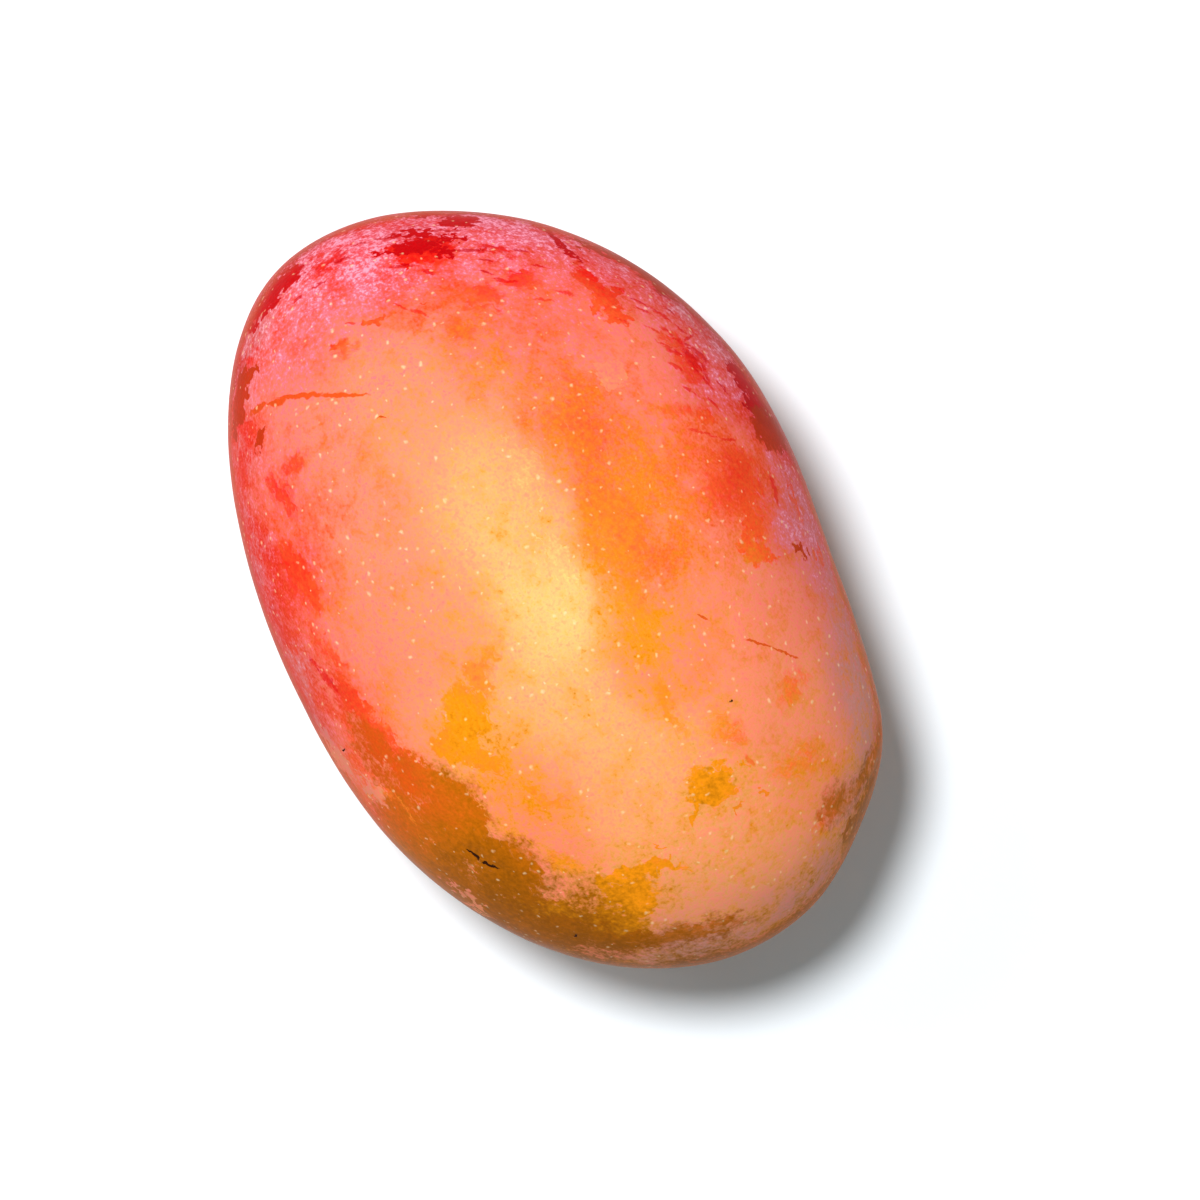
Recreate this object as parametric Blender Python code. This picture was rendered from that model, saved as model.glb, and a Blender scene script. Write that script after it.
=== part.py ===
"""A ripe mango lying on one cheek, modelled at its real size in metres.

The fruit grew as one piece, so it is one closed solid. Its skin is a surface round one
centre. A rounded ellipsoid gives the length, the width and the thickness, and a short list
of named swells and hollows gives the shoulder, the sinus above the beak, the beak and the
slimmer tip. At the stem end a shallow cavity holds the corky button that the stalk leaves.

+X runs from the stem end to the tip, +Y is the side with the beak and +Z is up. The origin
is on the resting surface, under the middle of the fruit's length and width.
"""

import math
from typing import NamedTuple

import bmesh
import bpy
from mathutils import Vector

MM = 0.001

# The rounded ellipsoid that the fruit starts from. Its outline from above is a little fuller
# than an ellipse, whose fullness would be 2, and its upright sections are plain ellipses.
HALF_LENGTH = 58.8 * MM
HALF_WIDTH = 43.5 * MM
HALF_THICKNESS = 37.6 * MM
FULLNESS = 2.17

# The direction from the centre to the stem scar, in degrees: round from +X, and up from the
# flat of the stone. The scar is below the middle, on the side that the fruit lies on.
STEM_AZIMUTH = 180.0
STEM_ELEVATION = -24.0

# The cavity round the stem scar, and the corky button in it with its sunken middle.
CAVITY_DEPTH = 3.2 * MM
CAVITY_SPREAD = 7.5
BUTTON_RADIUS = 3.6 * MM
BUTTON_EDGE = 1.0 * MM
BUTTON_HEIGHT = 1.5 * MM
PIT_RADIUS = 1.4 * MM
PIT_DEPTH = 0.7 * MM

# How far the cheek that the fruit lies on is pressed flat.
FOOT_DEPTH = 0.6 * MM

# The mesh runs in rings round the stem scar. The rings stand closer near the scar, where the
# button is small: CROWDING is their spacing there as a share of the spacing elsewhere.
SEGMENTS = 80
RINGS = 52
CROWDING = 0.3
CROWDING_REACH = 7

SKIN_COLOUR = (0.78, 0.20, 0.09, 1.0)
SKIN_ROUGHNESS = 0.42


class Swell(NamedTuple):
    """A soft rise of the skin round one direction, or a hollow where its height is negative.

    Azimuth and elevation give the direction in degrees, and height is in metres. The spreads
    are the angles in degrees at which 0.61 of the height is left: along the outline as it is
    seen from above, and across it, up and down.
    """

    name: str
    azimuth: float
    elevation: float
    height: float
    along: float
    across: float


SWELLS = (
    Swell("tip", 3.0, 0.0, 3.4 * MM, 20.0, 34.0),
    Swell("beak", 33.0, 0.0, 0.9 * MM, 7.0, 12.0),
    Swell("flat between tip and beak", 18.0, 0.0, -1.0 * MM, 6.5, 14.0),
    Swell("sinus above the beak", 60.0, 0.0, -4.1 * MM, 22.0, 30.0),
    Swell("stem end", 186.0, 0.0, 5.0 * MM, 14.0, 34.0),
    Swell("long back", 238.0, 0.0, -3.3 * MM, 32.0, 36.0),
    Swell("upper shoulder", 190.0, 42.0, 1.6 * MM, 32.0, 24.0),
    Swell("under shoulder", 170.0, -46.0, 1.3 * MM, 30.0, 20.0),
    Swell("slim tip above", 14.0, 42.0, -1.0 * MM, 28.0, 20.0),
    Swell("slim tip below", 14.0, -38.0, -0.6 * MM, 28.0, 16.0),
)


def direction(azimuth: float, elevation: float) -> Vector:
    """The unit vector at this azimuth and elevation, both in degrees."""
    turn = math.radians(azimuth)
    rise = math.radians(elevation)
    return Vector((
        math.cos(rise) * math.cos(turn),
        math.cos(rise) * math.sin(turn),
        math.sin(rise),
    ))


def bell(angle: float, spread: float) -> float:
    """A smooth fall from 1 at angle 0 to 0.61 at the spread, and on to 0."""
    return math.exp(-0.5 * (angle / spread) ** 2)


def step(distance: float, edge: float, width: float) -> float:
    """A smooth fall from 1 to 0 where the distance crosses the edge."""
    share = (distance - edge) / width + 0.5
    share = min(max(share, 0.0), 1.0)
    return 1.0 - share * share * (3.0 - 2.0 * share)


def ellipsoid_radius(way: Vector) -> float:
    """How far the rounded ellipsoid reaches along this unit vector."""
    outline = abs(way.x / HALF_LENGTH) ** FULLNESS + abs(way.y / HALF_WIDTH) ** FULLNESS
    return 1.0 / math.hypot(outline ** (1.0 / FULLNESS), way.z / HALF_THICKNESS)


def stem_relief(way: Vector, radius: float) -> float:
    """What the stem cavity, the corky button and its pit add to the radius along this vector."""
    angle = direction(STEM_AZIMUTH, STEM_ELEVATION).angle(way)
    distance = angle * radius
    relief = -CAVITY_DEPTH * bell(math.degrees(angle), CAVITY_SPREAD)
    relief += BUTTON_HEIGHT * step(distance, BUTTON_RADIUS, BUTTON_EDGE)
    relief -= PIT_DEPTH * step(distance, PIT_RADIUS, BUTTON_EDGE)
    return relief


def swell_height(swell: Swell, way: Vector) -> float:
    """What this swell adds to the radius along this unit vector."""
    middle = direction(swell.azimuth, swell.elevation)
    along = direction(swell.azimuth + 90.0, 0.0)
    across = middle.cross(along)
    bearing = math.atan2(way.dot(across), way.dot(along))
    angle = math.degrees(middle.angle(way))
    share = bell(angle * math.cos(bearing), swell.along)
    return swell.height * share * bell(angle * math.sin(bearing), swell.across)


def skin_radius(way: Vector) -> float:
    """The distance from the fruit's centre to its skin along this unit vector."""
    radius = ellipsoid_radius(way)
    radius += sum(swell_height(swell, way) for swell in SWELLS)
    return radius + stem_relief(way, radius)


def crowded(polar: float) -> float:
    """The angle from the stem scar, in radians, of a ring that evenly spaced stands at polar."""
    share = polar / math.pi
    share -= (1.0 - CROWDING) * share * (1.0 - share) ** CROWDING_REACH
    return share * math.pi


def place_skin(mesh: bmesh.types.BMesh) -> None:
    """Turn the unit sphere's pole to the stem scar and move each point out to the skin."""
    pole = Vector((0.0, 0.0, 1.0))
    to_stem = pole.rotation_difference(direction(STEM_AZIMUTH, STEM_ELEVATION))
    for vertex in mesh.verts:
        polar = crowded(pole.angle(vertex.co))
        turn = math.atan2(vertex.co.y, vertex.co.x)
        way = to_stem @ Vector((
            math.sin(polar) * math.cos(turn),
            math.sin(polar) * math.sin(turn),
            math.cos(polar),
        ))
        vertex.co = way * skin_radius(way)


def press_foot(mesh: bmesh.types.BMesh) -> None:
    """Press the lowest part of the under cheek flat."""
    foot = min(vertex.co.z for vertex in mesh.verts) + FOOT_DEPTH
    for vertex in mesh.verts:
        vertex.co.z = max(vertex.co.z, foot)


def stand_on_origin(mesh: bmesh.types.BMesh) -> None:
    """Move the fruit so that its foot is at height 0 and its middle is over the origin."""
    low = Vector([min(vertex.co[axis] for vertex in mesh.verts) for axis in range(3)])
    high = Vector([max(vertex.co[axis] for vertex in mesh.verts) for axis in range(3)])
    middle = (low + high) / 2
    shift = Vector((-middle.x, -middle.y, -low.z))
    bmesh.ops.translate(mesh, verts=mesh.verts, vec=shift)


def skin_material() -> bpy.types.Material:
    """Waxy ripe skin, in the average of its reds and oranges."""
    material = bpy.data.materials.new("ripe_skin")
    material.use_nodes = True
    shader = material.node_tree.nodes["Principled BSDF"]
    shader.inputs["Base Color"].default_value = SKIN_COLOUR
    shader.inputs["Roughness"].default_value = SKIN_ROUGHNESS
    shader.inputs["Metallic"].default_value = 0.0
    material.diffuse_color = SKIN_COLOUR
    return material


def clear_scene() -> None:
    """Remove every object, so that only the fruit is left."""
    for found in list(bpy.data.objects):
        bpy.data.objects.remove(found)


def build_mango() -> bpy.types.Object:
    """Build the fruit as one closed solid, shaded smooth."""
    mesh = bmesh.new()
    bmesh.ops.create_uvsphere(mesh, u_segments=SEGMENTS, v_segments=RINGS, radius=1.0)
    place_skin(mesh)
    press_foot(mesh)
    stand_on_origin(mesh)
    data = bpy.data.meshes.new("mango")
    mesh.to_mesh(data)
    mesh.free()
    data.shade_smooth()
    data.materials.append(skin_material())
    mango = bpy.data.objects.new("mango", data)
    bpy.context.scene.collection.objects.link(mango)
    return mango


clear_scene()
build_mango()
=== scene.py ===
"""A ripe mango on a pale studio floor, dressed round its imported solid.

The skin is one piece: a smooth, finely divided copy of the solid's surface, with the relief
that a hand would feel, in a material worked out by nodes. Lengths are in millimetres unless a
name says otherwise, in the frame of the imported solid: +X runs from the stem end to the tip,
+Y is the side with the beak and +Z is up.
"""

import logging
import math
from dataclasses import dataclass
from enum import Enum

import bmesh
import bpy
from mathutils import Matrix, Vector, noise
from mathutils.bvhtree import BVHTree
from mathutils.geometry import intersect_point_line
from mathutils.kdtree import KDTree


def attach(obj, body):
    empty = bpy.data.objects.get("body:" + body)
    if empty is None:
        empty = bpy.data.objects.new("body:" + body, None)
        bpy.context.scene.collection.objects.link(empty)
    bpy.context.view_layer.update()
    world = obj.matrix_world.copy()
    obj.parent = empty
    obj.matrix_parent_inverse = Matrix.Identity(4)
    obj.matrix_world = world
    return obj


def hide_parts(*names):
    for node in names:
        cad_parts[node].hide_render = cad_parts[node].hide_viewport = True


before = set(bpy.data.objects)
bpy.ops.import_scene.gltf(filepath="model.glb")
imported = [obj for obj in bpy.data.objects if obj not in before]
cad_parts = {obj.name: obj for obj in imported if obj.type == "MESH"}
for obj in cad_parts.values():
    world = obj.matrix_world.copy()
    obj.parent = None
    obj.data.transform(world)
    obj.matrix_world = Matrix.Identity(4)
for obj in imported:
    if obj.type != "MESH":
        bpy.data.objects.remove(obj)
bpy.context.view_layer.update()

Socket = bpy.types.NodeSocket

MM = 0.001
LOG = logging.getLogger("mango")

# How the fruit is turned under the camera: +X points this far round from the picture's right,
# and the camera hangs this far above the fruit's widest outline, over this point.
ROLL = math.radians(56.3)
CAMERA_HEIGHT = 1200.0
GIRTH_HEIGHT = 37.2
CAMERA_OVER = (6.1, 4.6)

# The fruit's middle, the way from it to the stem scar in degrees below the level, and a
# distance from it that is outside the fruit.
FRUIT_MIDDLE = (0.7, -0.3, GIRTH_HEIGHT)
SCAR_DROP = 24.0
OUTSIDE = 200.0


class Side(Enum):
    """Which side of the fruit something is on: the one that shows, or the one it lies on."""

    UPPER = 1
    UNDER = -1


class Kind(Enum):
    """What happened to the skin at a mark."""

    RUBBED = "the bloom is wiped off and the bare skin shows"
    FAINT = "the bloom is wiped thin"
    CRIMSON = "the bloom is wiped off over the darkest blush"
    BROWN = "the skin is chafed brown"
    TANNED = "the bare skin is tanned by the sun"
    STROKE = "a thin stroke is rubbed off, crimson"
    PALE = "the bloom is left whole inside a bare part"
    SCRATCH = "a fine scratch, healed orange"
    SPLIT = "a dry dark split or speck"


class Edge(Enum):
    """How a mark's edge strays: the width of one wander and how far it goes."""

    STEADY = (1.2, 0.25)
    RAGGED = (1.5, 0.8)
    WANDERING = (6.0, 1.2)


@dataclass(frozen=True)
class Look:
    """How the skin looks round one place.

    Right and down are measured from the fruit's middle, as it lies in the picture, and reach
    is how far the look spreads. The other values run from 0 to 1: tint is the colour under
    bloom from cream to pink, ground is the bare skin's from olive to deep crimson, wax is how
    thick the bloom is, and dull is how grey the bloom is: grey with age in places, and along
    the outline painted shade and sheen.
    """

    name: str
    side: Side
    right: float
    down: float
    reach: float
    tint: float
    ground: float
    wax: float
    dull: float = 0.0


@dataclass(frozen=True)
class Mark:
    """One mark on the upper side, an ellipse with ragged edges.

    Right and down give its middle as a Look's do. Length and width are half sizes, and turn
    is its long way in degrees, anticlockwise from the picture's right.
    """

    name: str
    kind: Kind
    right: float
    down: float
    length: float
    width: float
    turn: float = 0.0


@dataclass(frozen=True)
class Crease:
    """A shallow fold in the skin, straight between two places given as in a Look."""

    name: str
    start: tuple[float, float]
    end: tuple[float, float]
    depth: float
    width: float


@dataclass(frozen=True)
class Fraying:
    """How one kind of mark wears the skin.

    A mark is as strong as 1 in its middle and falls to 0 at its edge. Wear starts where it is
    stronger than low, and is complete, and no more than most, where it is as strong as high.
    """

    edge: Edge
    low: float
    high: float
    most: float = 1.0


def rows(made: type, group: Enum, *values: tuple) -> list:
    """Make the looks of one side, or the marks of one kind, from their values.

    Args:
        made: Look or Mark.
        group: The side or the kind that they share.
        values: The name and the other values of each, in the order of its fields.

    Returns:
        The looks or marks.
    """
    return [made(row[0], group, *row[1:]) for row in values]


def numbered(name: str, *values: tuple) -> list[tuple]:
    """Name the parts of one mark, or marks of one sort, by number."""
    return [(f"{name} {number}", *row) for number, row in enumerate(values, start=1)]


# The looks along the outline, named edge, wall or corner, and the mauve bottom, are greyer, darker
# and barer than the skin round them: the skin's own colour with painted shade and painted sheen of
# the outline in it.
LOOKS = rows(
    Look,
    Side.UPPER,
    ("stem cap", -27.1, -50.5, 7.5, 0.92, 0.95, 0.55),
    ("left of the cap", -34.6, -48.4, 6.8, 0.92, 0.96, 0.88, 0.05),
    ("left shoulder edge", -43.7, -39.4, 4.5, 0.85, 0.96, 0.5, 0.5),
    ("left shoulder", -37.2, -37.4, 6.3, 0.8, 0.78, 0.9),
    ("right of the cap", -6.0, -53.2, 4.8, 0.94, 0.93, 0.88),
    ("below the cap", -7.8, -47.5, 5.7, 0.79, 0.89, 0.75),
    ("upper middle", -12.4, -39.4, 6.3, 0.6, 0.65, 0.32),
    ("upper middle right", 1.2, -38.9, 6.3, 0.7, 0.6, 0.75),
    ("upper right", 9.5, -43.9, 5.1, 0.79, 0.81, 0.41),
    ("upper right edge", 15.5, -44.9, 4.2, 0.9, 0.95, 0.3, 0.5),
    ("lilac right edge", 23.2, -36.9, 4.8, 0.85, 0.92, 0.72, 0.35),
    ("right of the middle, upper", 13.2, -34.4, 6.3, 0.6, 0.65, 1.0),
    ("hatched right", 22.0, -32.4, 4.5, 0.84, 0.82, 0.48),
    ("dark right edge", 32.5, -24.9, 3.9, 0.9, 0.9, 0.3),
    ("left wall", -46.5, -21.6, 3.6, 0.75, 0.85, 0.15, 0.5),
    ("upper left", -38.7, -23.8, 5.4, 0.6, 0.74, 0.87),
    ("pale upper left", -27.1, -32.1, 6.0, 0.56, 0.5, 0.95),
    ("centre, upper left", -19.9, -24.6, 6.8, 0.5, 0.49, 0.88),
    ("band, top", 1.2, -28.4, 5.4, 0.5, 0.54, 0.12),
    ("band, upper", 6.9, -19.3, 6.0, 0.59, 0.5, 0.2),
    ("band, middle", 13.2, -8.0, 6.3, 0.35, 0.48, 0.02),
    ("right of the band", 20.8, -19.3, 5.7, 0.55, 0.6, 0.3),
    ("red right flank", 29.1, -14.0, 4.8, 0.6, 0.7, 0.15),
    ("pink right flank", 36.1, -8.3, 4.8, 0.88, 0.7, 0.96, 0.22),
    ("red left flank", -40.2, -16.3, 4.8, 0.72, 0.81, 0.66),
    ("inner left flank", -32.2, -12.5, 6.3, 0.6, 0.64, 0.71),
    ("centre left", -23.7, -5.8, 6.8, 0.5, 0.56, 0.9),
    # The pale cream down the middle is partly the skin's own yellow and partly a painted highlight,
    # the broad sheen where the soft boxes light the top.
    ("pale centre", -11.2, -15.3, 6.3, 0.28, 0.34, 1.0),
    ("cream centre", -6.6, -7.3, 5.1, 0.2, 0.34, 1.0),
    ("yellow centre", 1.2, 5.8, 4.5, 0.07, 0.3, 0.98),
    ("golden lower centre", 3.5, 18.3, 6.8, 0.26, 0.38, 0.88),
    ("dull left edge", -44.3, -3.5, 3.9, 0.8, 0.88, 0.2, 0.45),
    ("red blotch", -37.5, 0.7, 4.5, 0.72, 0.78, 0.02),
    ("inner lower left", -30.1, 5.5, 6.0, 0.6, 0.62, 0.81),
    ("centre, lower left", -19.1, 4.8, 6.8, 0.49, 0.42, 0.9),
    ("dull lower left edge", -38.0, 13.4, 4.2, 0.75, 0.85, 0.35, 0.5),
    ("red lower left", -31.2, 16.8, 4.2, 0.62, 0.74, 0.25),
    ("inside the lower left", -22.6, 15.3, 5.4, 0.55, 0.51, 0.97),
    ("amber lower left", -12.7, 23.3, 5.1, 0.3, 0.31, 0.6),
    ("amber band", 14.0, 10.0, 4.8, 0.54, 0.28, 0.42),
    ("right centre", 25.3, 1.0, 6.8, 0.5, 0.54, 0.7),
    ("pink right centre", 35.5, 2.5, 4.8, 0.57, 0.6, 0.93),
    ("mauve right edge", 44.9, 8.5, 5.4, 0.76, 0.5, 0.92, 0.6),
    ("right, lower", 32.1, 15.3, 6.8, 0.47, 0.5, 0.97),
    ("mauve right corner", 47.9, 18.3, 5.1, 0.62, 0.4, 0.85, 0.75),
    ("red orange lower flank", -23.2, 28.9, 4.5, 0.5, 0.66, 0.25),
    ("brown lower flank", -20.2, 35.9, 4.5, 0.45, 0.32, 0.05),
    ("olive lower flank", -7.8, 44.7, 5.4, 0.35, 0.05, 0.2),
    ("olive bottom", 5.7, 51.0, 5.4, 0.4, 0.06, 0.0),
    ("lower middle", -3.3, 32.6, 5.7, 0.5, 0.35, 0.45),
    ("amber foot", 13.2, 45.4, 3.0, 0.35, 0.2, 0.55),
    ("lower middle foot", -0.0, 40.2, 3.9, 0.52, 0.45, 0.75),
    ("lower middle right", 11.7, 32.6, 6.8, 0.3, 0.38, 0.86),
    ("olive patch", 23.8, 30.4, 3.6, 0.32, 0.22, 0.62),
    ("lower right", 28.3, 39.4, 6.8, 0.34, 0.4, 0.8),
    ("orange lower right", 39.6, 28.9, 4.8, 0.45, 0.44, 0.6),
    ("bottom right", 24.5, 46.9, 5.4, 0.38, 0.34, 0.85, 0.2),
    ("dull bottom right edge", 36.6, 46.9, 4.8, 0.5, 0.25, 0.8, 0.6),
    ("mauve bottom", 20.8, 54.9, 4.8, 0.5, 0.1, 0.42, 0.8),
    ("brown right corner", 46.7, 31.1, 3.9, 0.45, 0.15, 0.55, 0.5),
    ("dull lower left flank", -28.6, 31.1, 3.0, 0.55, 0.6, 0.3, 0.3),
    ("dull lower edge", -15.7, 45.0, 2.7, 0.5, 0.2, 0.0, 0.2),
) + rows(
    Look,
    Side.UNDER,
    ("under the stem end", -17.0, -40.0, 20.0, 0.66, 0.64, 0.42),
    ("under the left flank", -26.0, -4.0, 16.0, 0.5, 0.48, 0.4),
    ("under the middle", -4.0, 0.0, 18.0, 0.26, 0.26, 0.5),
    ("under the right flank", 22.0, -16.0, 16.0, 0.44, 0.46, 0.45, 0.05),
    ("under the beak side", 30.0, 16.0, 15.0, 0.3, 0.24, 0.45, 0.05),
    ("under the tip", 14.0, 38.0, 18.0, 0.24, 0.14, 0.42, 0.05),
)

# The look of a place that no other reaches: tint, ground, wax and dull, and how little it
# weighs against them.
FAR_LOOK = (0.4, 0.4, 0.7, 0.0)
FAR_WEIGHT = 1e-4

# The band round the girth is painted shade, a darker band of bare, tanned skin for the
# darkening round the outline: its tint and ground are those of the skin above it, its bloom
# is so thin that only the mottling leaves some, and it isn't dull.
GIRTH_PAINTED_SHADE_LOOK = (None, None, -0.25, 0.0)

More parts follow.
